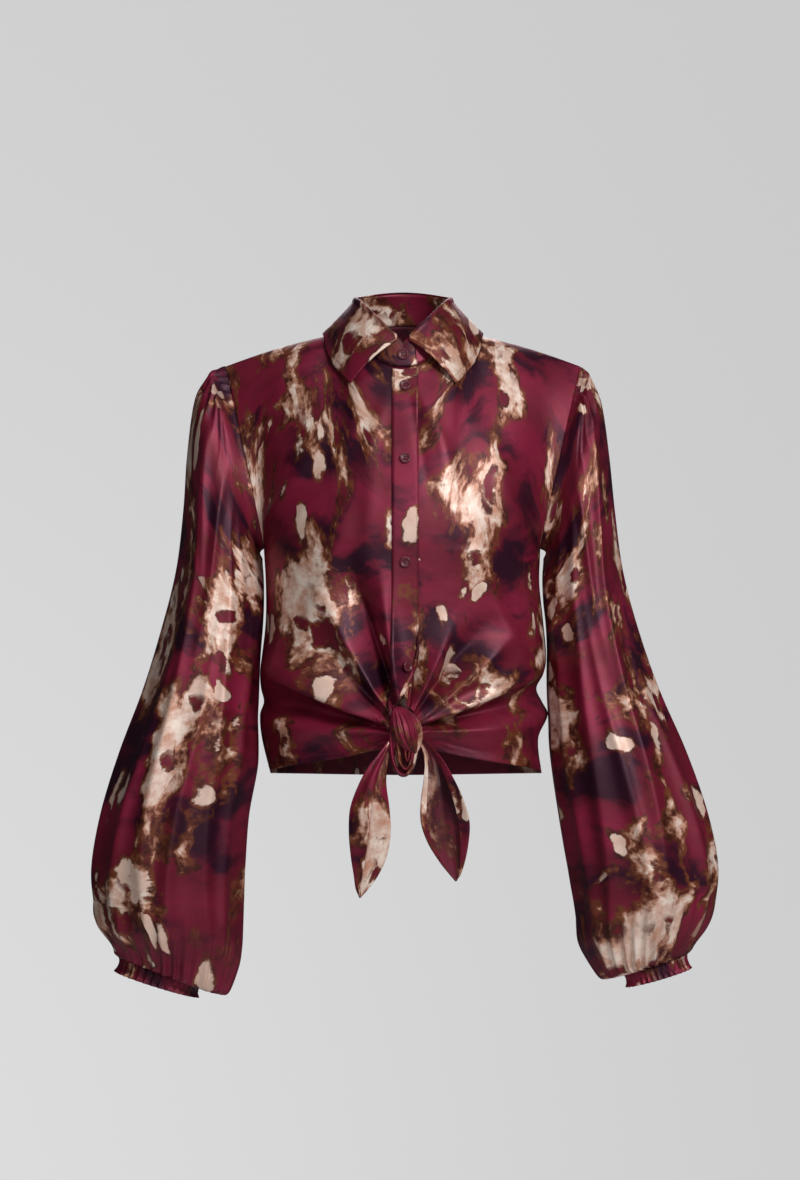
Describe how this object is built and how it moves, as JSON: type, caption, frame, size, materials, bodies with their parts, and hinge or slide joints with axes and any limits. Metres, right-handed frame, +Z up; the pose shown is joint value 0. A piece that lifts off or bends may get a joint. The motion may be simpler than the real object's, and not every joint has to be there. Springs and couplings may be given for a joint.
{
  "type": "printed tie-front blouse",
  "caption": "Satin shirt blouse in its worn form, with a pointed collar, button band, long balloon sleeves gathered at head and wrist, and a hem tied in a knot at the front.",
  "frame": {"origin": "on the middle plane, level with the neck ends of the shoulder seams and above the side seams, where the wearer's shoulders hold the blouse up", "axes": "+Z up, +X the wearer's left, +Y the wearer's back, so the front faces -Y"},
  "size_m": [0.6584, 0.2515, 0.7428],
  "materials": {
    "cloth": "satin with a soft sheen, burgundy ground with brown, tan and cream blotches",
    "button": "polished resin, burgundy"
  },
  "bodies": {
    "root": {"front_right": "cloth", "front_left": "cloth", "back": "cloth", "placket": "cloth", "collar_stand": "cloth", "collar_fall": "cloth", "sleeve_right": "cloth", "sleeve_left": "cloth", "cuff_right": "cloth", "cuff_left": "cloth", "knot_wrap": "cloth", "knot_loop": "cloth", "tie_end_right": "cloth", "tie_end_left": "cloth", "button_1": "button", "button_2": "button", "button_3": "button", "button_4": "button", "button_5": "button"}
  },
  "joints": []
}
